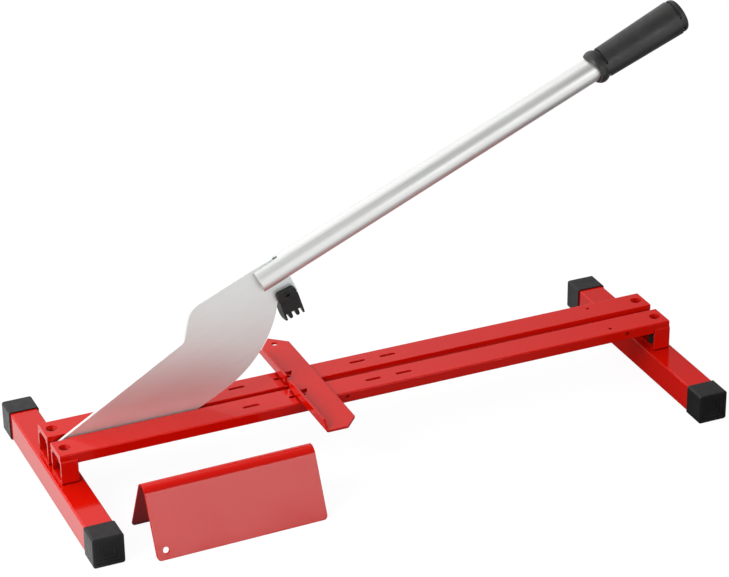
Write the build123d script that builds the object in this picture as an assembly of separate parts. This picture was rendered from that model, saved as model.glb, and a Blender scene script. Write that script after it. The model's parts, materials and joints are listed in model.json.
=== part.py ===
from build123d import *
from math import cos, radians, sin, tan
import os

os.makedirs("parts", exist_ok=True)

# Sizes in millimetres and degrees. X runs along the rails, Y across them with the back positive,
# Z up from the floor. The drawing starts from the floor under the middle of the rails, and each
# piece is saved as seen from the floor under the middle of the whole.
middle_x = 10.23
middle_y = -7.75

# Rails
rail_length = 800.0
rail_width = 36.1
rail_depth = 13.0
rail_sheet = 3.5
rail_bend = 1.6
slot_bend = 0.6  # along the blade slot
rail_inner_bend = 0.5
rail_top = 74.0
blade_slot = 12.8
slot_strip = 2.4  # how far each rail stands into the slot, from the posts to under the fence
strip_end = 320.0  # from the rails' left end
rail_lip = 7.0  # what is left of a rail's turned-down sides over its posts
side_gap = 0.5  # between a rail's full sides and its posts

# Holes in the rails
access_hole = 14.0
fence_slot_length = 21.0
fence_slot_width = 5.0
first_slot = 243.3  # from the rails' left end to each pair of slots
second_slot = 302.5  # the pair that the fence stands in
third_slot = 402.0
fourth_step = 40.2  # from the third pair to the fourth
small_hole = 5.0
top_hole_inset = 77.4  # from the rails' right end
top_hole_offset = 5.6  # outwards from the middle of the rail
left_side_hole = 360.0  # in the front rail, from its left end
right_side_hole = 60.0  # from its right end
side_hole_drop = 5.0  # below the rail top
side_hole_depth = 2.2

# Posts
post_length = 21.0
post_width = 37.6
post_wall = 3.5
post_corner = 2.5
neck_corner = 0.8  # of the post's narrow top
neck_gap = 0.1  # between it and the rail's sides

# Legs and end caps
leg_inset = 11.4  # from a rail's end to the middle of the leg
leg_size = 34.6
leg_wall = 2.0
leg_corner = 2.2
leg_reach = 174.5  # from the middle of the blade slot to the outer face of a cap
cap_wall = 1.6
cap_end = 4.0
cap_length = 31.0
cap_corner = 3.0
cap_edge = 1.2
cap_rim = 4.0
cap_step = 4.2
cap_steps = 3
cap_step_depth = 0.9
cap_step_corner = 1.2
cap_clearance = 0.05

# Base bolts
bolt_size = 8.0
bolt_head = 13.0
bolt_head_height = 8.0
bolt_key = 6.0
bolt_key_depth = 4.5
bolt_end = 1.5  # that stands out past the nut
bolt_hole_clearance = 0.4
thread_clearance = 0.05
base_nut_width = 13.0
base_nut_height = 6.5
washer_size = 14.0
washer_thickness = 1.6

# Pivot
pivot_inset = 13.5  # from the rails' left end
pivot_drop = 21.225  # below the rail top
pivot_size = 10.0
pivot_clearance = 0.05
pivot_head_width = 16.0
pivot_head_height = 4.0
pivot_nut_height = 5.0
pivot_end = 1.5
spacer_size = 15.0
blade_side_gap = 0.3

# Blade, drawn with the pivot at 0, 0 and the handle level
blade_thickness = 4.0
blade_nose = 9.0
nose_top_round = 17.0
nose_bottom_round = 8.5
spine_rise = 7.2
spine_offset = 15.4
spine_foot = 189.1
shoulder_start = 214.1
shoulder_height = 73.3
spine_round = 10.0
shoulder_round = 24.0
tang_length = 27.5
tang_rise = 1.6  # of the tang's end above the outside of the tube
ear_length = 36.5
ear_drop = 0.6  # of the ear's top below the bore of the tube
ear_round = 3.0
belly_u = 191.65  # centre of the cutting edge's arc
belly_w = 90.44
belly_radius = 138.2
belly_start = -32.04  # the cutting edge as seen from that centre, from the ear
belly_end = -83.8  # to where it runs on as a flatter arc
flat_radius = 502.3
flat_end = -90.0
heel_corner = 135.0
heel_round = 60.0
bevel_width = 6.0
bevel_depth = 3.2

# Handle tube and grip, along the handle from the pivot
handle_slope = 23.6  # as the blade stands in its rest pose
close_angle = 17.0  # from the rest pose down to the end of the cut
tube_offset = 55.7
tube_start = 300.0
tube_end = 893.0
tube_size = 30.0
tube_wall = 2.0
tube_edge = 0.6
tang_clearance = 0.05
tang_slot_end = 6.5  # width of the round hole that ends the slot
grip_start = 773.4
grip_length = 132.6
grip_collar = 16.0
grip_mouth = 32.0
grip_bulge = 42.0
grip_bulge_place = 7.6  # from the grip's start
grip_neck = 37.8
grip_scoop = 5.8  # how far the collar's sides are cut back
grip_scoop_radius = 28.0
grip_groove = 3.6
grip_groove_depth = 2.8
grip_bridge = 12.5  # where a groove stops at each side of the grip
grip_slim = 38.6
grip_wide = 44.0
grip_ring = 42.4
grip_ring_length = 7.0
grip_end_round = 6.0
grip_clearance = 0.05

# Buffer, along the level blade slot from the pivot as the cut ends
buffer_setback = 4.9  # of the block's left end past the tube's start
buffer_length = 24.6
buffer_top = 65.4
buffer_ledge = 53.2
buffer_half = 9.0
buffer_corner = 4.0
buffer_gap = 0.4
ear_bottom = 52.5
comb_setback = 1.6  # of the comb's left end past the block's
comb_length = 25.0
comb_front = 4.0
comb_back = 8.0
comb_flare = 2.5  # how far the comb's left side spreads to the back
comb_round = 9.0
prong_length = 8.0
outer_prong = 2.4
inner_prong = 4.6
first_inner_prong = 7.4  # from the comb's left end
second_inner_prong = 16.3
screw_setback = 12.6  # past the block's left end
screw_height = 60.2
screw_size = 4.0
screw_head = 5.6
screw_head_height = 2.4
screw_clearance = 0.05
screw_key = 2.5
screw_key_depth = 1.4
boss_size = 8.4
boss_height = 0.8
boss_sink = 4.5  # depth of the head's seat below the face of the block
buffer_nut_width = 7.0
buffer_nut_height = 3.2

# Fence
fence_place = -1.7  # of its prongs in their slots, from the middle of the slots
fence_width = 44.3
fence_height = 13.0
fence_sheet = 3.0
fence_bend = 3.5
fence_front = 121.0
fence_back = 121.5
front_chamfer_width = 16.2
front_chamfer_length = 18.5
back_chamfer_width = 21.0
back_chamfer_length = 18.0
fold_end = 94.0  # Y where the turned-up edge ends at the back
flange_slope = 10.0
back_flange_slope = 14.0
notch_half = 6.3
notch_length = 8.0
prong_size = 3.0
prong_reach = 9.0  # below the rail top
window_front = 12.3  # from the fence's outer face to the window's slanting side
window_back = 19.0
window_half = 7.4
hang_hole = 8.0
hang_inset = 17.0  # from the fence's back end
hang_place = 25.8  # from the fence's outer face

# Plank support
support_left = 63.2  # from the rails' left end
support_length = 209.6
support_front = 190.0
support_turn = 1.1  # out of line with the rails
support_height = 77.0
support_slope = 64.7
support_sheet = 2.0
support_ridge = 11.5
support_corner = 5.0
support_hole = 7.5
support_hole_inset = 12.0
support_hole_height = 9.6

# Places worked out from the sizes
rail_left = -rail_length / 2
rail_right = rail_length / 2
rail_y = blade_slot / 2 + rail_width / 2
cap_size = leg_size + 2 * (cap_wall + cap_clearance)
leg_z = cap_size / 2
leg_top = leg_z + leg_size / 2
post_top = rail_top - rail_sheet
post_shoulder = rail_top - rail_lip
post_y = blade_slot / 2 + post_width / 2
left_leg_x = rail_left + leg_inset
right_leg_x = rail_right - leg_inset
pivot_x = rail_left + pivot_inset
pivot_z = rail_top - pivot_drop
closed_slope = handle_slope - close_angle
fence_x = rail_left + second_slot + fence_place - prong_size / 2
fence_top = rail_top + fence_sheet
buffer_left = tube_start + buffer_setback
screw_x = buffer_left + screw_setback
screw_z = screw_height


def along_x(section, x_from, x_to):
    """A section drawn with Y to the right and Z up, drawn out along X."""
    plane = Plane((x_from, 0, 0), x_dir=(0, 1, 0), z_dir=(1, 0, 0))
    return extrude(plane * section, amount=x_to - x_from)


def along_y(section, y_from, y_to):
    """A section drawn with X to the right and Z up, drawn out along Y."""
    plane = Plane((0, y_to, 0), x_dir=(1, 0, 0), z_dir=(0, -1, 0))
    return extrude(plane * section, amount=y_to - y_from)


def along_z(section, z_from, z_to):
    return extrude(Pos(0, 0, z_from) * section, amount=z_to - z_from)


def pin_y(size, x, z, y_from, y_to):
    return along_y(Pos(x, z) * Circle(size / 2), y_from, y_to)


def pin_z(size, x, y, z_from, z_to):
    return along_z(Pos(x, y) * Circle(size / 2), z_from, z_to)


def box(x_from, x_to, y_from, y_to, z_from, z_to):
    middle = ((x_from + x_to) / 2, (y_from + y_to) / 2, (z_from + z_to) / 2)
    return Pos(*middle) * Box(x_to - x_from, y_to - y_from, z_to - z_from)


def hexagon(width):
    return RegularPolygon(radius=width / 2, side_count=6, major_radius=False)


def tube_section(width, height, wall, corner):
    hollow = RectangleRounded(width - 2 * wall, height - 2 * wall, max(corner - wall, 0.5))
    return RectangleRounded(width, height, corner) - hollow


def round_corner(outline, place, radius):
    corner = outline.vertices().sort_by_distance((place[0], place[1], 0))[0]
    return fillet(corner, radius)


def lever(shape):
    """From the drawing with the level handle to the rest pose."""
    return Pos(pivot_x, 0, pivot_z) * Rot(0, -handle_slope, 0) * shape


def closed(shape):
    """From the drawing of the buffer at the end of the cut to the rest pose."""
    return Pos(pivot_x, 0, pivot_z) * Rot(0, -close_angle, 0) * shape


def rail(side):
    outer = Rectangle(rail_width, rail_depth)
    outer = round_corner(outer, (side * rail_width / 2, rail_depth / 2), rail_bend)
    outer = round_corner(outer, (-side * rail_width / 2, rail_depth / 2), slot_bend)
    inner = Pos(0, -rail_sheet / 2) * Rectangle(rail_width - 2 * rail_sheet, rail_depth - rail_sheet)
    inner = fillet(inner.vertices().group_by(Axis.Y)[-1], rail_inner_bend)
    section = Pos(side * rail_y, rail_top - rail_depth / 2) * (outer - inner)
    body = along_x(section, rail_left, rail_right)
    side_start = rail_left + post_length + side_gap
    side_end = rail_right - post_length - side_gap
    body -= box(rail_left - 1, side_start, -rail_length, rail_length, 0, post_shoulder)
    body -= box(side_end, rail_right + 1, -rail_length, rail_length, 0, post_shoulder)
    strip_width = slot_strip + rail_sheet / 2
    strip = Rectangle(strip_width, rail_depth)
    strip = round_corner(strip, (-side * strip_width / 2, rail_depth / 2), slot_bend)
    strip_y = blade_slot / 2 - slot_strip + strip_width / 2
    strip = Pos(side * strip_y, rail_top - rail_depth / 2) * strip
    body += along_x(strip, side_start, rail_left + strip_end)
    for x in (left_leg_x, right_leg_x):
        body -= pin_z(access_hole, x, side * rail_y, post_top - 1, rail_top + 1)
    for place in (first_slot, second_slot, third_slot, third_slot + fourth_step):
        slot = Pos(rail_left + place, side * rail_y) * SlotOverall(fence_slot_length, fence_slot_width)
        body -= along_z(slot, post_top - 1, rail_top + 1)
    hole_y = side * (rail_y + top_hole_offset)
    body -= pin_z(small_hole, rail_right - top_hole_inset, hole_y, post_top - 1, rail_top + 1)
    return body


def front_rail():
    body = rail(-1)
    outer_face = rail_y + rail_width / 2
    for x in (rail_left + left_side_hole, rail_right - right_side_hole):
        z = rail_top - side_hole_drop
        body -= pin_y(small_hole, x, z, -outer_face - 1, side_hole_depth - outer_face)
    return body


def post(start, bolt_x, side):
    height = post_shoulder - leg_top
    section = Pos(side * post_y, leg_top + height / 2) * RectangleRounded(post_width, height, post_corner)
    neck = rail_width - 2 * (rail_sheet + neck_gap)
    neck_block = RectangleRounded(neck, 2 * (post_top - post_shoulder), neck_corner)
    section += Pos(side * rail_y, post_shoulder) * neck_block
    hollow_height = height - 2 * post_wall
    hollow_width = post_width - 2 * post_wall
    section -= Pos(side * post_y, leg_top + height / 2) * Rectangle(hollow_width, hollow_height)
    hollow_top = post_top - post_wall
    neck_hollow = Rectangle(neck - 2 * post_wall, 2 * (hollow_top - post_shoulder + post_wall))
    section -= Pos(side * rail_y, post_shoulder - post_wall) * neck_hollow
    body = along_x(section, start, start + post_length)
    body -= pin_z(access_hole, bolt_x, side * rail_y, post_top - post_wall - 1, post_top + 1)
    hole = bolt_size + 2 * bolt_hole_clearance
    body -= pin_z(hole, bolt_x, side * rail_y, leg_top - 1, leg_top + post_wall + 1)
    return body


def left_post(side):
    inner_face = blade_slot / 2
    ends = sorted((side * (inner_face - 1), side * (inner_face + post_wall + 1)))
    hole = pivot_size + 2 * pivot_clearance
    return post(rail_left, left_leg_x, side) - pin_y(hole, pivot_x, pivot_z, *ends)


def leg(x):
    reach = leg_reach - cap_end
    section = tube_section(leg_size, leg_size, leg_wall, leg_corner)
    body = along_y(Pos(x, leg_z) * section, -reach, reach)
    hole = bolt_size + 2 * bolt_hole_clearance
    for side in (-1, 1):
        body -= pin_z(hole, x, side * rail_y, leg_top - leg_wall - 1, leg_top + 1)
    return body


def cap(x, side):
    outer = along_y(RectangleRounded(cap_size, cap_size, cap_corner), -cap_length, 0)
    end_edges = outer.faces().sort_by(Axis.Y)[0].edges()
    body = fillet(end_edges, cap_edge)
    socket_size = leg_size + 2 * cap_clearance
    socket = RectangleRounded(socket_size, socket_size, leg_corner)
    body -= along_y(socket, cap_end - cap_length, 1)
    for step in range(cap_steps):
        size = cap_size - 2 * (cap_rim + step * cap_step)
        depth = (step + 1) * cap_step_depth
        body -= along_y(RectangleRounded(size, size, cap_step_corner), -cap_length - 1, depth - cap_length)
    if side > 0:
        body = Rot(0, 0, 180) * body
    return Pos(x, side * (leg_reach - cap_length), leg_z) * body


def base_places():
    return [(x, side * rail_y) for x in (left_leg_x, right_leg_x) for side in (-1, 1)]


def base_bolt(x, y):
    seat = leg_top + post_wall + washer_thickness
    nut_bottom = leg_top - leg_wall - base_nut_height
    body = pin_z(bolt_head, x, y, seat, seat + bolt_head_height)
    body += pin_z(bolt_size, x, y, nut_bottom - bolt_end, seat)
    key_bottom = seat + bolt_head_height - bolt_key_depth
    body -= along_z(Pos(x, y) * hexagon(bolt_key), key_bottom, seat + bolt_head_height + 1)
    return body


def base_washer(x, y):
    bottom = leg_top + post_wall
    ring = Circle(washer_size / 2) - Circle(bolt_size / 2 + bolt_hole_clearance)
    return along_z(Pos(x, y) * ring, bottom, bottom + washer_thickness)


def base_nut(x, y):
    top = leg_top - leg_wall
    ring = hexagon(base_nut_width) - Circle(bolt_size / 2 + thread_clearance)
    return along_z(Pos(x, y) * ring, top - base_nut_height, top)


def pivot_bolt():
    seat = blade_slot / 2 + post_wall
    head = Pos(pivot_x, pivot_z) * hexagon(pivot_head_width)
    body = along_y(head, -seat - pivot_head_height, -seat)
    body += pin_y(pivot_size, pivot_x, pivot_z, -seat, seat + pivot_nut_height + pivot_end)
    return body


def pivot_nut():
    seat = blade_slot / 2 + post_wall
    ring = hexagon(pivot_head_width) - Circle(pivot_size / 2 + thread_clearance)
    return along_y(Pos(pivot_x, pivot_z) * ring, seat, seat + pivot_nut_height)


def pivot_spacer(side):
    near = blade_thickness / 2 + blade_side_gap
    ends = sorted((side * near, side * blade_slot / 2))
    ring = Circle(spacer_size / 2) - Circle(pivot_size / 2 + pivot_clearance)
    return along_y(Pos(pivot_x, pivot_z) * ring, *ends)


def spine(u):
    return spine_offset + u * tan(radians(spine_rise))


def ear_line(u):
    """The ear's lower side, level as the cut ends."""
    slope = radians(closed_slope)
    return (ear_bottom - u * sin(slope)) / cos(slope)


def heading(angle):
    return (cos(radians(angle)), sin(radians(angle)))


def bevel(centre, radius, start, end):
    """What is ground away from the back of the cutting edge along one arc."""
    back = blade_thickness / 2
    section = make_face(
        Polyline(
            (radius - bevel_width, back),
            (radius, back - bevel_depth),
            (radius + 1, back - bevel_depth),
            (radius + 1, back + 1),
            (radius - bevel_width, back + 1),
            close=True,
        )
    )
    u, w = heading(start)
    middle = (centre[0], 0, centre[1])
    plane = Plane(middle, x_dir=(u, 0, w), z_dir=(-w, 0, u))
    return revolve(plane * section, Axis(middle, (0, 1, 0)), revolution_arc=start - end)


def blade():
    tang_top = tube_offset + tube_size / 2 + tang_rise
    tang_end = tube_start + tang_length
    ear_top = tube_offset + tube_size / 2 - tube_wall - ear_drop
    ear_end = tube_start + ear_length
    nose_top = (-blade_nose, spine(-blade_nose))
    nose_bottom = (-blade_nose, -blade_nose)
    foot = (spine_foot, spine(spine_foot))
    shoulder = (shoulder_start, shoulder_height)
    ear_corner = (ear_end, ear_line(ear_end))
    belly_centre = (belly_u, belly_w)
    belly = CenterArc(belly_centre, belly_radius, belly_start, belly_end - belly_start)
    flat_centre = [c + (belly_radius - flat_radius) * d for c, d in zip(belly_centre, heading(belly_end))]
    flat = CenterArc(flat_centre, flat_radius, belly_end, flat_end - belly_end)
    heel = (heel_corner, (flat @ 1).Y)
    upper = Polyline(
        nose_bottom,
        nose_top,
        foot,
        shoulder,
        (tube_start, shoulder_height),
        (tang_end, tang_top),
        (tang_end, ear_top),
        (ear_end, ear_top),
        ear_corner,
        belly @ 0,
    )
    lower = Polyline(flat @ 1, heel, nose_bottom)
    outline = make_face(upper + belly + flat + lower)
    outline = round_corner(outline, foot, spine_round)
    outline = round_corner(outline, shoulder, shoulder_round)
    outline = round_corner(outline, nose_top, nose_top_round)
    outline = round_corner(outline, nose_bottom, nose_bottom_round)
    outline = round_corner(outline, heel, heel_round)
    outline = round_corner(outline, ear_corner, ear_round)
    body = along_y(outline, -blade_thickness / 2, blade_thickness / 2)
    body -= bevel(belly_centre, belly_radius, belly_start, belly_end)
    body -= bevel(flat_centre, flat_radius, belly_end, flat_end)
    body -= pin_y(pivot_size + 2 * pivot_clearance, 0, 0, -blade_thickness, blade_thickness)
    slope = radians(closed_slope)
    screw_u = screw_x * cos(slope) + screw_z * sin(slope)
    screw_w = screw_z * cos(slope) - screw_x * sin(slope)
    body -= pin_y(screw_size + 2 * screw_clearance, screw_u, screw_w, -blade_thickness, blade_thickness)
    return lever(body)


def handle_tube():
    axis = Pos(0, 0, tube_offset)
    radius = tube_size / 2
    body = axis * along_x(Circle(radius) - Circle(radius - tube_wall), tube_start, tube_end)
    rim = body.edges().filter_by(GeomType.CIRCLE).group_by(Axis.X)[0].sort_by(SortBy.RADIUS)[-1]
    body = chamfer(rim, tube_edge)
    slot_half = blade_thickness / 2 + tang_clearance
    upper_stop = tube_start + tang_length + tang_slot_end / 2
    body -= box(tube_start - 1, upper_stop, -slot_half, slot_half, tube_offset, 2 * tube_offset)
    body -= pin_z(tang_slot_end, upper_stop, 0, tube_offset, 2 * tube_offset)
    lower_stop = tube_start + ear_length + tang_slot_end / 2
    body -= box(tube_start - 1, lower_stop, -slot_half, slot_half, 0, tube_offset)
    body -= pin_z(tang_slot_end, lower_stop, 0, 0, tube_offset)
    return lever(body)


def grip():
    bore = tube_size / 2 + grip_clearance
    collar_end = grip_start + grip_collar
    body_start = collar_end + grip_groove
    grip_end = grip_start + grip_length
    ring_start = grip_end - grip_ring_length
    body_end = ring_start - grip_groove
    collar = Spline(
        (grip_start, grip_mouth / 2),
        (grip_start + grip_bulge_place, grip_bulge / 2),
        (collar_end, grip_neck / 2),
    )
    outline = collar + Polyline(
        (collar_end, grip_neck / 2),
        (body_start, grip_slim / 2),
        (body_end, grip_wide / 2),
        (ring_start, grip_ring / 2),
        (grip_end, grip_ring / 2),
        (grip_end, 0),
        (grip_start, 0),
        (grip_start, grip_mouth / 2),
    )
    half = round_corner(make_face(outline), (grip_end, grip_ring / 2), grip_end_round)
    body = revolve(Plane.XZ * half, Axis.X)
    body -= along_x(Circle(bore), grip_start - 1, tube_end)
    scoop_x = grip_start + grip_scoop - grip_scoop_radius
    body -= pin_y(2 * grip_scoop_radius, scoop_x, 0, -grip_bulge, grip_bulge)
    for start, size in ((collar_end, grip_neck), (body_end, grip_wide)):
        floor = size / 2 - grip_groove_depth
        groove = along_x(Circle(size) - Circle(floor), start, start + grip_groove)
        groove -= box(start, start + grip_groove, -size, size, -grip_bridge / 2, grip_bridge / 2)
        body -= groove
    return lever(Pos(0, 0, tube_offset) * body)


def comb():
    """The lower part of the buffer, with four prongs that stand over the fence."""
    left = buffer_left + comb_setback
    right = left + comb_length
    far_left = left - comb_flare
    tips = fence_top + buffer_gap - pivot_z
    roots = tips + prong_length
    plan = make_face(
        Polyline(
            (left, -comb_front),
            (right, -comb_front),
            (right, comb_back),
            (far_left, comb_back),
            close=True,
        )
    )
    side_view = make_face(
        Polyline(
            (-comb_front, tips),
            (comb_back, tips),
            (comb_back, buffer_ledge),
            (-comb_front, buffer_ledge),
            close=True,
        )
    )
    side_view = round_corner(side_view, (comb_back, tips), comb_round)
    body = along_z(plan, tips, buffer_ledge) & along_x(side_view, far_left, right)
    half = inner_prong / 2
    gaps = (
        (left + outer_prong, left + first_inner_prong - half),
        (left + first_inner_prong + half, left + second_inner_prong - half),
        (left + second_inner_prong + half, right - outer_prong),
    )
    for gap_from, gap_to in gaps:
        body -= box(gap_from, gap_to, -2 * comb_back, 2 * comb_back, tips - 1, roots)
    for place in (first_inner_prong, second_inner_prong):
        around = Rectangle(inner_prong, 2 * half)
        around -= Pos(0, half) * Circle(half)
        around -= Pos(0, inner_prong) * Rectangle(inner_prong, inner_prong)
        body -= along_y(Pos(left + place, tips) * around, -2 * comb_back, 2 * comb_back)
    return body


def blade_buffer():
    right = buffer_left + buffer_length
    block = box(buffer_left, right, -buffer_half, buffer_half, buffer_ledge, buffer_top)
    block = fillet(block.edges().filter_by(Axis.Y).group_by(Axis.Z)[-1], buffer_corner)
    body = block + comb()
    body += pin_y(boss_size, screw_x, screw_z, -buffer_half - boss_height, buffer_half)
    slot_half = blade_thickness / 2 + tang_clearance
    slot_bottom = ear_bottom - tang_clearance
    slot_end = buffer_left + comb_setback + comb_length + 1
    body -= box(buffer_left - 1, slot_end, -slot_half, slot_half, slot_bottom, buffer_top + 1)
    body -= pin_y(screw_size + 2 * screw_clearance, screw_x, screw_z, -2 * buffer_half, 2 * buffer_half)
    seat = boss_sink - buffer_half
    body -= pin_y(screw_head + 2 * screw_clearance, screw_x, screw_z, -2 * buffer_half, seat)
    pocket = hexagon(buffer_nut_width + 2 * screw_clearance)
    body -= along_y(Pos(screw_x, screw_z) * pocket, buffer_half - buffer_nut_height, 2 * buffer_half)
    return closed(body)


def buffer_screw():
    seat = boss_sink - buffer_half
    body = pin_y(screw_head, screw_x, screw_z, seat - screw_head_height, seat)
    body += pin_y(screw_size, screw_x, screw_z, seat, buffer_half)
    key = Pos(screw_x, screw_z) * hexagon(screw_key)
    body -= along_y(key, seat - screw_head_height - 1, seat - screw_head_height + screw_key_depth)
    return closed(body)


def buffer_nut():
    ring = hexagon(buffer_nut_width) - Circle(screw_size / 2 + thread_clearance)
    return closed(along_y(Pos(screw_x, screw_z) * ring, buffer_half - buffer_nut_height, buffer_half))


def fence():
    section = make_face(
        Polyline(
            (0, 0),
            (fence_width, 0),
            (fence_width, fence_sheet),
            (fence_sheet, fence_sheet),
            (fence_sheet, fence_height),
            (0, fence_height),
            close=True,
        )
    )
    section = round_corner(section, (0, 0), fence_bend)
    section = round_corner(section, (fence_sheet, fence_sheet), fence_bend - fence_sheet)
    body = along_y(section, -fence_front, fence_back)
    plan = make_face(
        Polyline(
            (0, -fence_front),
            (fence_width - front_chamfer_width, -fence_front),
            (fence_width, front_chamfer_length - fence_front),
            (fence_width, fence_back - back_chamfer_length),
            (fence_width - back_chamfer_width, fence_back),
            (fence_sheet, fold_end),
            (0, fold_end),
            close=True,
        )
    )
    body &= along_z(plan, -1, fence_height + 1)
    side_view = make_face(
        Polyline(
            (-fence_front, 0),
            (fence_back, 0),
            (fence_back, fence_sheet),
            (fold_end, fence_sheet),
            (fold_end - back_flange_slope, fence_height),
            (flange_slope - fence_front, fence_height),
            (-fence_front, fence_sheet),
            close=True,
        )
    )
    body &= along_x(side_view, -1, fence_width + 1)
    body -= box(-1, notch_length, -notch_half, notch_half, -1, fence_height + 1)
    half = prong_size / 2
    for side in (-1, 1):
        y = side * rail_y
        window = make_face(
            Polyline(
                (fence_bend, y - window_half),
                (window_front, y - window_half),
                (window_back, y + window_half),
                (fence_bend, y + window_half),
                close=True,
            )
        )
        body -= along_z(window, -1, fence_sheet + 1)
        body += box(0, prong_size, y - half, y + half, -prong_reach, fence_bend)
    body -= pin_z(hang_hole, hang_place, fence_back - hang_inset, -1, fence_sheet + 1)
    return Pos(fence_x, 0, rail_top) * body


def plank_support():
    slope = radians(support_slope)
    peak = support_height + support_ridge * (1 / cos(slope) - 1)
    foot = peak / tan(slope)
    inner_foot = foot - support_sheet / sin(slope)
    inner_peak = inner_foot * tan(slope)
    outer = make_face(Polyline((-foot, 0), (foot, 0), (0, peak), close=True))
    outer = round_corner(outer, (0, peak), support_ridge)
    inner = make_face(Polyline((-inner_foot, 0), (inner_foot, 0), (0, inner_peak), close=True))
    inner = round_corner(inner, (0, inner_peak), support_ridge - support_sheet)
    body = along_x(outer - inner, 0, support_length)
    front_view = Rectangle(support_length, 2 * support_height)
    front_view = fillet(front_view.vertices(), support_corner)
    body &= along_y(Pos(support_length / 2, support_height) * front_view, -2 * foot, 2 * foot)
    hole = pin_y(support_hole, support_hole_inset, support_hole_height, -2 * foot, 0)
    turned = Rot(0, 0, support_turn) * Pos(0, foot, 0) * (body - hole)
    return Pos(rail_left + support_left, -support_front, 0) * turned


def group(make, places):
    return Compound([make(*place) for place in places])


def save(name, shape):
    placed = Pos(-middle_x, -middle_y, 0) * shape
    export_step(placed, f"parts/{name}.step")


save("front_rail", front_rail())
save("back_rail", rail(1))
save("left_front_post", left_post(-1))
save("left_back_post", left_post(1))
save("right_front_post", post(rail_right - post_length, right_leg_x, -1))
save("right_back_post", post(rail_right - post_length, right_leg_x, 1))
save("left_leg", leg(left_leg_x))
save("right_leg", leg(right_leg_x))
save("left_front_cap", cap(left_leg_x, -1))
save("left_back_cap", cap(left_leg_x, 1))
save("right_front_cap", cap(right_leg_x, -1))
save("right_back_cap", cap(right_leg_x, 1))
save("base_bolts", group(base_bolt, base_places()))
save("base_washers", group(base_washer, base_places()))
save("base_nuts", group(base_nut, base_places()))
save("pivot_bolt", pivot_bolt())
save("pivot_nut", pivot_nut())
save("front_pivot_spacer", pivot_spacer(-1))
save("back_pivot_spacer", pivot_spacer(1))
save("blade", blade())
save("handle_tube", handle_tube())
save("grip", grip())
save("blade_buffer", blade_buffer())
save("buffer_screw", buffer_screw())
save("buffer_nut", buffer_nut())
save("fence", fence())
save("plank_support", plank_support())
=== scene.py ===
import json
import math

import bpy
from mathutils import Matrix, Vector

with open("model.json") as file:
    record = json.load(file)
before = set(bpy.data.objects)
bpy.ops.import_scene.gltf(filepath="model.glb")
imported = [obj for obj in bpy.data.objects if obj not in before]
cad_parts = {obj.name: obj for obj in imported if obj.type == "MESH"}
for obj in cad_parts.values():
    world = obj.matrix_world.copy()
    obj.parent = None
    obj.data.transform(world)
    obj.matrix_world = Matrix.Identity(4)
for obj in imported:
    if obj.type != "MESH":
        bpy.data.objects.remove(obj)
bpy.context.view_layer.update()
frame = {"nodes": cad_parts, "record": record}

# Camera, fitted to the photograph. Lengths in metres.
PICTURE_WIDTH = 729
FOCAL_PIXELS = 2665.88
SENSOR_MM = 36.0
CAMERA_PLACE = (-1.130807, -2.608083, 1.625216)
CAMERA_FORWARD = (0.35197221, 0.81995747, -0.45142587)
CAMERA_RIGHT = (0.91622989, -0.40044271, -0.01297784)

# Surfaces
HANDLE_SLOPE = math.radians(23.6)
NOISE_SPAN = (0.3, 0.7)  # noise lies mostly between these two
FULL_EDGE = 0.86  # cosine of the normal's turn at a fully rounded edge

# Floor, and how it takes light: seen by the camera, seen in reflections, and as it lights other surfaces
FLOOR_REACH = 14.0
FLOOR_LEVEL = -0.0002
SEEN_SHADE = 0.12
SEEN_GLOW = 0.93
MIRRORED_SHADE = 0.15
LIGHTING_SHADE = 0.22

# Light cards on the floor, seen in reflections only: where each starts, where it is full, how bright it is
BASE_CARD = (0.32, 0.22, 0.18)
FRONT_CARD = (-0.19, -0.28, 1.0)
FRONT_SLANT = 0.435  # how much further forward the front card starts for each metre to the right
LEFT_CARD = (-0.385, -0.425, 1.0)
BACK_CARD = (0.03, 0.10, 0.8)
BACK_CARD_SIDE = (0.10, -0.05)
FAR_BACK_CARD = (0.22, 0.32, 0.35)
CAP_CARD = (0.13, 0.18, 0.42)
CAP_CARD_SIDE = (0.20, 0.27)

# Backdrop: two places along an axis of the direction, and the brightness at each
BACKDROP_HEIGHT = (0.30, 0.75, 0.95, 0.58)
BACKDROP_SIDE = (0.30, 0.52, 1.20, 0.30)
BACKDROP_DEPTH = (-0.4, 0.4, 0.40, 1.0)

# Softboxes: name, place, aim, width, height and watts
SOFTBOXES = (
    ("left_box", (-1.7, -0.5, 1.2), (-0.1, 0.0, 0.05), 1.3, 1.1, 22.0),
    ("front_box", (0.9, -2.9, 1.15), (-0.2, -0.1, 0.05), 1.1, 0.65, 12.0),
    ("top_box", (-0.5, 1.0, 2.4), (0.0, 0.0, 0.0), 2.2, 1.6, 7.0),
    ("right_box", (1.8, -0.8, 1.0), (0.0, 0.0, 0.05), 1.0, 1.0, 4.0),
    ("back_box", (-0.8, 2.2, 1.5), (0.0, 0.0, 0.1), 1.2, 0.8, 3.8),
)


# Node helpers

def new_material(name):
    material = bpy.data.materials.new(name)
    material.use_nodes = True
    tree = material.node_tree
    tree.nodes.clear()
    output = tree.nodes.new("ShaderNodeOutputMaterial")
    shader = tree.nodes.new("ShaderNodeBsdfPrincipled")
    tree.links.new(shader.outputs["BSDF"], output.inputs["Surface"])
    return material, tree, shader


def connect(tree, value, socket):
    if isinstance(value, bpy.types.NodeSocket):
        tree.links.new(value, socket)
    else:
        socket.default_value = value


def object_place(tree):
    return tree.nodes.new("ShaderNodeTexCoord").outputs["Object"]


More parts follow.
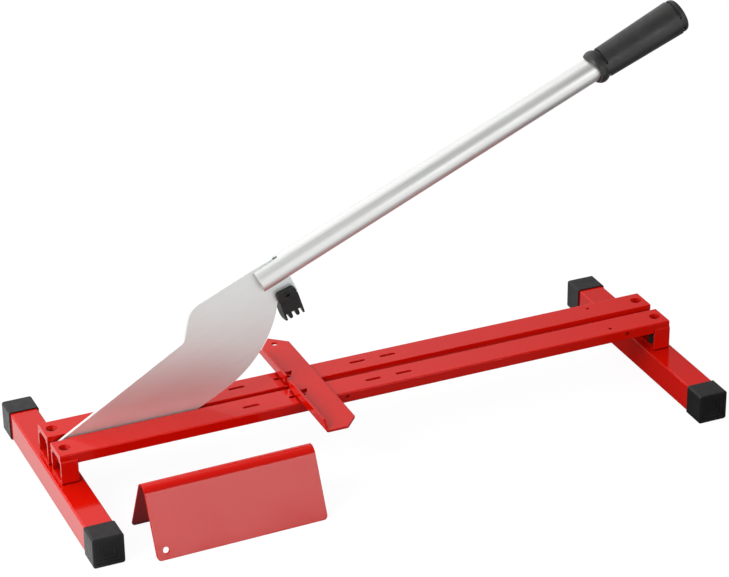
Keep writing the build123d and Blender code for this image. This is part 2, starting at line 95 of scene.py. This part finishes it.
def grain_place(tree, along, across, turn=0.0):
    """Places stretched along the handle's direction: `along` and `across` are the grain's sizes."""
    mapping = tree.nodes.new("ShaderNodeMapping")
    mapping.vector_type = "TEXTURE"
    mapping.inputs["Rotation"].default_value = (0.0, -turn, 0.0)
    mapping.inputs["Scale"].default_value = (along, across, across)
    tree.links.new(object_place(tree), mapping.inputs["Vector"])
    return mapping.outputs["Vector"]


def noise(tree, place, scale, detail=3.0, roughness=0.55):
    node = tree.nodes.new("ShaderNodeTexNoise")
    node.inputs["Scale"].default_value = scale
    node.inputs["Detail"].default_value = detail
    node.inputs["Roughness"].default_value = roughness
    tree.links.new(place, node.inputs["Vector"])
    return node.outputs["Fac"]


def cells(tree, place, scale):
    node = tree.nodes.new("ShaderNodeTexVoronoi")
    node.inputs["Scale"].default_value = scale
    tree.links.new(place, node.inputs["Vector"])
    return node.outputs["Color"]


def spread(tree, value, low, high, to_low, to_high):
    node = tree.nodes.new("ShaderNodeMapRange")
    node.interpolation_type = "SMOOTHSTEP"
    for name, number in (("From Min", low), ("From Max", high), ("To Min", to_low), ("To Max", to_high)):
        node.inputs[name].default_value = number
    tree.links.new(value, node.inputs["Value"])
    return node.outputs["Result"]


def combine(tree, operation, first, second):
    node = tree.nodes.new("ShaderNodeMath")
    node.operation = operation
    connect(tree, first, node.inputs[0])
    connect(tree, second, node.inputs[1])
    return node.outputs["Value"]


def blend_colour(tree, share, first, second):
    node = tree.nodes.new("ShaderNodeMix")
    node.data_type = "RGBA"
    connect(tree, share, node.inputs["Factor"])
    for value, name in ((first, "A"), (second, "B")):
        socket = [s for s in node.inputs if s.name == name and s.type == "RGBA"][0]
        connect(tree, value if isinstance(value, bpy.types.NodeSocket) else (*value, 1.0), socket)
    return [s for s in node.outputs if s.type == "RGBA"][0]


def rounded(tree, radius):
    node = tree.nodes.new("ShaderNodeBevel")
    node.samples = 6
    node.inputs["Radius"].default_value = radius
    return node.outputs["Normal"]


def edge_mask(tree, normal):
    """1 along the edges that `rounded` softens, 0 on flat faces."""
    geometry = tree.nodes.new("ShaderNodeNewGeometry")
    node = tree.nodes.new("ShaderNodeVectorMath")
    node.operation = "DOT_PRODUCT"
    tree.links.new(normal, node.inputs[0])
    tree.links.new(geometry.outputs["Normal"], node.inputs[1])
    return spread(tree, node.outputs["Value"], 1.0, FULL_EDGE, 0.0, 1.0)


def crevice_shade(tree, reach, open_share, hidden_share):
    """Mask for painted shade: 1 where no more than `hidden_share` of the light gets in, 0 where `open_share`
    or more does.
    """
    node = tree.nodes.new("ShaderNodeAmbientOcclusion")
    node.samples = 8
    node.inputs["Distance"].default_value = reach
    return spread(tree, node.outputs["AO"], open_share, hidden_share, 0.0, 1.0)


def bump(tree, height, strength, depth, normal):
    node = tree.nodes.new("ShaderNodeBump")
    node.inputs["Strength"].default_value = strength
    node.inputs["Distance"].default_value = depth
    tree.links.new(height, node.inputs["Height"])
    tree.links.new(normal, node.inputs["Normal"])
    return node.outputs["Normal"]


# Materials

def red_paint():
    material, tree, shader = new_material("red_paint")
    place = object_place(tree)
    normal = rounded(tree, 0.0008)
    edges = edge_mask(tree, normal)
    cloud = spread(tree, noise(tree, place, 5.0, 2.0), *NOISE_SPAN, 0.0, 1.0)
    colour = blend_colour(tree, cloud, (0.74, 0.005, 0.0010), (0.78, 0.008, 0.002))
    specks = spread(tree, noise(tree, place, 900.0, 2.0), 0.70, 0.80, 0.0, 0.12)
    colour = blend_colour(tree, specks, colour, (0.50, 0.004, 0.001))
    # Lighter, pinker red along the edges in noise patches: partly paint rubbed thin, partly a painted
    # highlight. The same mask also roughens the edges.
    edge_patches = spread(tree, noise(tree, place, 90.0, 4.0), 0.45, 0.75, 0.05, 0.45)
    worn_and_highlit = combine(tree, "MULTIPLY", edges, edge_patches)
    colour = blend_colour(tree, worn_and_highlit, colour, (0.80, 0.030, 0.015))
    # Painted shade: the paint darkens toward dark red in crevices, where little light gets in.
    shaded = combine(tree, "MULTIPLY", crevice_shade(tree, 0.012, 0.62, 0.3), 0.75)
    colour = blend_colour(tree, shaded, colour, (0.25, 0.001, 0.0005))
    tree.links.new(colour, shader.inputs["Base Color"])
    matt = spread(tree, noise(tree, place, 30.0, 3.0), *NOISE_SPAN, 0.08, 0.12)
    matt = combine(tree, "ADD", matt, combine(tree, "MULTIPLY", worn_and_highlit, 0.12))
    tree.links.new(matt, shader.inputs["Roughness"])
    peel = bump(tree, noise(tree, place, 300.0, 2.0), 0.04, 0.0002, normal)
    tree.links.new(peel, shader.inputs["Normal"])
    shader.inputs["Specular IOR Level"].default_value = 0.25
    return material


def black_moulding(name, dark, light, edge, smooth, matt, grain, depth, radius, gloss):
    material, tree, shader = new_material(name)
    place = object_place(tree)
    normal = rounded(tree, radius)
    edges = edge_mask(tree, normal)
    cloud = spread(tree, noise(tree, place, 45.0, 4.0), *NOISE_SPAN, 0.0, 1.0)
    colour = blend_colour(tree, cloud, dark, light)
    edge_patches = spread(tree, noise(tree, place, 160.0, 3.0), 0.35, 0.7, 0.3, 1.0)
    colour = blend_colour(tree, combine(tree, "MULTIPLY", edges, edge_patches), colour, edge)
    # Painted shade: the colour darkens to near black in crevices, where little light gets in.
    colour = blend_colour(tree, crevice_shade(tree, 0.004, 0.85, 0.45), colour, (0.002, 0.002, 0.002))
    tree.links.new(colour, shader.inputs["Base Color"])
    patchy = spread(tree, noise(tree, place, 110.0, 3.0), *NOISE_SPAN, smooth, matt)
    tree.links.new(patchy, shader.inputs["Roughness"])
    skin = bump(tree, noise(tree, place, grain, 3.0, 0.6), 0.35, depth, normal)
    tree.links.new(skin, shader.inputs["Normal"])
    shader.inputs["Specular IOR Level"].default_value = gloss
    return material


def blade_steel():
    material, tree, shader = new_material("blade_steel")
    place = object_place(tree)
    normal = rounded(tree, 0.0005)
    edges = edge_mask(tree, normal)
    lines = noise(tree, grain_place(tree, 0.06, 0.00035, HANDLE_SLOPE), 1.0, 4.0, 0.65)
    wide = noise(tree, grain_place(tree, 0.25, 0.006, HANDLE_SLOPE), 1.0, 3.0)
    cloud = noise(tree, place, 14.0, 3.0)
    shade = combine(tree, "ADD", combine(tree, "MULTIPLY", lines, 0.5), combine(tree, "MULTIPLY", wide, 0.5))
    streaks = spread(tree, shade, 0.35, 0.65, 0.0, 1.0)
    colour = blend_colour(tree, streaks, (0.815, 0.855, 0.84), (0.845, 0.885, 0.87))
    colour = blend_colour(tree, spread(tree, cloud, 0.35, 0.75, 0.0, 0.35), colour, (0.815, 0.845, 0.83))
    colour = blend_colour(tree, combine(tree, "MULTIPLY", edges, 0.7), colour, (0.90, 0.89, 0.86))
    tree.links.new(colour, shader.inputs["Base Color"])
    matt = combine(
        tree, "ADD",
        spread(tree, lines, *NOISE_SPAN, 0.43, 0.47),
        spread(tree, cloud, *NOISE_SPAN, -0.02, 0.02),
    )
    tree.links.new(matt, shader.inputs["Roughness"])
    ground = bump(tree, lines, 0.05, 0.00004, normal)
    tree.links.new(ground, shader.inputs["Normal"])
    shader.inputs["Metallic"].default_value = 0.7
    return material


def tube_aluminium():
    material, tree, shader = new_material("tube_aluminium")
    place = object_place(tree)
    normal = rounded(tree, 0.0005)
    edges = edge_mask(tree, normal)
    lines = noise(tree, grain_place(tree, 0.12, 0.0012, HANDLE_SLOPE), 1.0, 3.0, 0.5)
    cloud = noise(tree, grain_place(tree, 0.10, 0.012, HANDLE_SLOPE), 1.0, 3.0)
    streaks = spread(tree, lines, *NOISE_SPAN, 0.0, 1.0)
    colour = blend_colour(tree, streaks, (0.81, 0.82, 0.805), (0.87, 0.88, 0.865))
    colour = blend_colour(tree, spread(tree, cloud, 0.45, 0.8, 0.0, 0.3), colour, (0.79, 0.785, 0.77))
    colour = blend_colour(tree, combine(tree, "MULTIPLY", edges, 0.6), colour, (0.92, 0.915, 0.90))
    tree.links.new(colour, shader.inputs["Base Color"])
    matt = combine(
        tree, "ADD",
        spread(tree, lines, *NOISE_SPAN, 0.42, 0.48),
        spread(tree, cloud, *NOISE_SPAN, -0.02, 0.03),
    )
    tree.links.new(matt, shader.inputs["Roughness"])
    plain = tree.nodes.new("ShaderNodeNewGeometry").outputs["Normal"]
    drawn = bump(tree, lines, 0.03, 0.00005, plain)
    tree.links.new(drawn, shader.inputs["Normal"])
    shader.inputs["Metallic"].default_value = 0.85
    return material


def zinc_steel():
    material, tree, shader = new_material("zinc_steel")
    place = object_place(tree)
    normal = rounded(tree, 0.0004)
    edges = edge_mask(tree, normal)
    patches = cells(tree, place, 420.0)
    cloud = noise(tree, place, 120.0, 3.0)
    spangle = spread(tree, patches, 0.2, 0.8, 0.0, 1.0)
    colour = blend_colour(tree, spangle, (0.50, 0.51, 0.53), (0.66, 0.66, 0.64))
    colour = blend_colour(tree, spread(tree, cloud, 0.5, 0.8, 0.0, 0.5), colour, (0.60, 0.57, 0.48))
    colour = blend_colour(tree, combine(tree, "MULTIPLY", edges, 0.7), colour, (0.80, 0.80, 0.80))
    # Painted shade: the zinc darkens to near black in crevices, where little light gets in.
    shaded = combine(tree, "MULTIPLY", crevice_shade(tree, 0.006, 0.9, 0.4), 0.9)
    colour = blend_colour(tree, shaded, colour, (0.02, 0.02, 0.02))
    tree.links.new(colour, shader.inputs["Base Color"])
    tree.links.new(spread(tree, cloud, *NOISE_SPAN, 0.26, 0.42), shader.inputs["Roughness"])
    tree.links.new(bump(tree, noise(tree, place, 900.0, 3.0), 0.2, 0.0001, normal), shader.inputs["Normal"])
    shader.inputs["Metallic"].default_value = 1.0
    return material


def black_steel():
    material, tree, shader = new_material("black_steel")
    place = object_place(tree)
    normal = rounded(tree, 0.0004)
    edges = edge_mask(tree, normal)
    cloud = noise(tree, place, 180.0, 4.0)
    patches = spread(tree, cloud, *NOISE_SPAN, 0.0, 1.0)
    colour = blend_colour(tree, patches, (0.022, 0.022, 0.024), (0.045, 0.044, 0.043))
    colour = blend_colour(tree, combine(tree, "MULTIPLY", edges, 0.6), colour, (0.20, 0.20, 0.20))
    tree.links.new(colour, shader.inputs["Base Color"])
    tree.links.new(spread(tree, cloud, *NOISE_SPAN, 0.34, 0.5), shader.inputs["Roughness"])
    tree.links.new(bump(tree, noise(tree, place, 1200.0, 3.0), 0.2, 0.0001, normal), shader.inputs["Normal"])
    shader.inputs["Metallic"].default_value = 0.5
    return material


finishes = {
    "red_paint": red_paint(),
    "black_rubber": black_moulding(
        "black_rubber",
        dark=(0.010, 0.010, 0.010), light=(0.015, 0.015, 0.015), edge=(0.050, 0.050, 0.050),
        smooth=0.38, matt=0.48, grain=1500.0, depth=0.00008, radius=0.0008, gloss=0.32,
    ),
    "black_plastic": black_moulding(
        "black_plastic",
        dark=(0.020, 0.019, 0.019), light=(0.030, 0.029, 0.028), edge=(0.070, 0.068, 0.067),
        smooth=0.40, matt=0.52, grain=1900.0, depth=0.00012, radius=0.0007, gloss=0.58,
    ),
    "blade_steel": blade_steel(),
    "tube_aluminium": tube_aluminium(),
    "zinc_steel": zinc_steel(),
    "black_steel": black_steel(),
}
for part in frame["record"]["subparts"]:
    mesh = frame["nodes"][part["node"]].data
    mesh.materials.clear()
    mesh.materials.append(finishes[part["material_slot"]])


# Floor

def paper(tree, shade, glow):
    """White paper that scatters the share `shade` of the light and shines by itself with `glow`."""
    matt = tree.nodes.new("ShaderNodeBsdfDiffuse")
    matt.inputs["Color"].default_value = (shade, shade, shade, 1.0)
    shine = tree.nodes.new("ShaderNodeEmission")
    connect(tree, glow, shine.inputs["Strength"])
    both = tree.nodes.new("ShaderNodeAddShader")
    tree.links.new(matt.outputs["BSDF"], both.inputs[0])
    tree.links.new(shine.outputs["Emission"], both.inputs[1])
    return both.outputs["Shader"]


def choose(tree, share, first, second):
    node = tree.nodes.new("ShaderNodeMixShader")
    tree.links.new(share, node.inputs["Fac"])
    tree.links.new(first, node.inputs[1])
    tree.links.new(second, node.inputs[2])
    return node.outputs["Shader"]


def card(tree, place, starts, full, brightness=1.0):
    """0 before `starts`, rising to `brightness` at `full`."""
    return spread(tree, place, starts, full, 0.0, brightness)


def card_glow(tree):
    """What reflections see of the floor: the brightest of the light cards, and dark between them."""
    split = tree.nodes.new("ShaderNodeSeparateXYZ")
    tree.links.new(tree.nodes.new("ShaderNodeNewGeometry").outputs["Position"], split.inputs["Vector"])
    x, y = split.outputs["X"], split.outputs["Y"]
    slant = combine(tree, "MULTIPLY", combine(tree, "MAXIMUM", x, 0.0), FRONT_SLANT)
    ahead = combine(tree, "ADD", y, slant)
    cards = (
        card(tree, ahead, *FRONT_CARD),
        card(tree, x, *LEFT_CARD),
        combine(tree, "MULTIPLY", card(tree, y, *BACK_CARD), card(tree, x, *BACK_CARD_SIDE)),
        card(tree, y, *FAR_BACK_CARD),
        combine(tree, "MULTIPLY", card(tree, y, *CAP_CARD), card(tree, x, *CAP_CARD_SIDE)),
    )
    glow = card(tree, x, *BASE_CARD)
    for other in cards:
        glow = combine(tree, "MAXIMUM", glow, other)
    return glow


def floor_material():
    material = bpy.data.materials.new("floor")
    material.cycles.emission_sampling = "NONE"
    material.use_nodes = True
    tree = material.node_tree
    tree.nodes.clear()
    output = tree.nodes.new("ShaderNodeOutputMaterial")
    path = tree.nodes.new("ShaderNodeLightPath")
    mirrored = combine(tree, "MAXIMUM", path.outputs["Is Glossy Ray"], path.outputs["Is Transmission Ray"])
    lighting = paper(tree, LIGHTING_SHADE, 0.0)
    surface = choose(tree, mirrored, lighting, paper(tree, MIRRORED_SHADE, card_glow(tree)))
    surface = choose(tree, path.outputs["Is Camera Ray"], surface, paper(tree, SEEN_SHADE, SEEN_GLOW))
    tree.links.new(surface, output.inputs["Surface"])
    return material


floor_mesh = bpy.data.meshes.new("floor")
corner_sides = ((-1, -1), (1, -1), (1, 1), (-1, 1))
floor_corners = [(x * FLOOR_REACH, y * FLOOR_REACH, FLOOR_LEVEL) for x, y in corner_sides]
floor_mesh.from_pydata(floor_corners, [], [(0, 1, 2, 3)])
floor = bpy.data.objects.new("floor", floor_mesh)
floor_mesh.materials.append(floor_material())
bpy.context.scene.collection.objects.link(floor)


# Light

def studio_world():
    world = bpy.data.worlds.new("studio")
    world.use_nodes = True
    tree = world.node_tree
    tree.nodes.clear()
    output = tree.nodes.new("ShaderNodeOutputWorld")
    background = tree.nodes.new("ShaderNodeBackground")
    direction = tree.nodes.new("ShaderNodeTexCoord").outputs["Generated"]
    split = tree.nodes.new("ShaderNodeSeparateXYZ")
    tree.links.new(direction, split.inputs["Vector"])
    height = spread(tree, split.outputs["Z"], *BACKDROP_HEIGHT)
    side = spread(tree, split.outputs["X"], *BACKDROP_SIDE)
    depth = spread(tree, split.outputs["Y"], *BACKDROP_DEPTH)
    glow = combine(tree, "MULTIPLY", combine(tree, "MULTIPLY", height, side), depth)
    path = tree.nodes.new("ShaderNodeLightPath")
    glow = combine(tree, "MAXIMUM", glow, path.outputs["Is Camera Ray"])
    background.inputs["Color"].default_value = (1.0, 1.0, 1.0, 1.0)
    tree.links.new(glow, background.inputs["Strength"])
    tree.links.new(background.outputs["Background"], output.inputs["Surface"])
    return world


def softbox(name, place, aim, width, height, power):
    data = bpy.data.lights.new(name, "AREA")
    data.shape = "RECTANGLE"
    data.size = width
    data.size_y = height
    data.energy = power
    lamp = bpy.data.objects.new(name, data)
    lamp.location = place
    lamp.rotation_euler = (Vector(aim) - Vector(place)).to_track_quat("-Z", "Y").to_euler()
    bpy.context.scene.collection.objects.link(lamp)


scene = bpy.context.scene
scene.world = studio_world()
scene.view_settings.view_transform = "Standard"
for row in SOFTBOXES:
    softbox(*row)


# Camera

camera_data = bpy.data.cameras.new("camera")
camera_data.sensor_fit = "HORIZONTAL"
camera_data.sensor_width = SENSOR_MM
camera_data.lens = FOCAL_PIXELS * SENSOR_MM / PICTURE_WIDTH
camera = bpy.data.objects.new("camera", camera_data)
right = Vector(CAMERA_RIGHT)
forward = Vector(CAMERA_FORWARD)
up = right.cross(forward)
turn = Matrix((right, up, -forward)).transposed()
camera.matrix_world = Matrix.Translation(CAMERA_PLACE) @ turn.to_4x4()
scene.collection.objects.link(camera)
scene.camera = camera
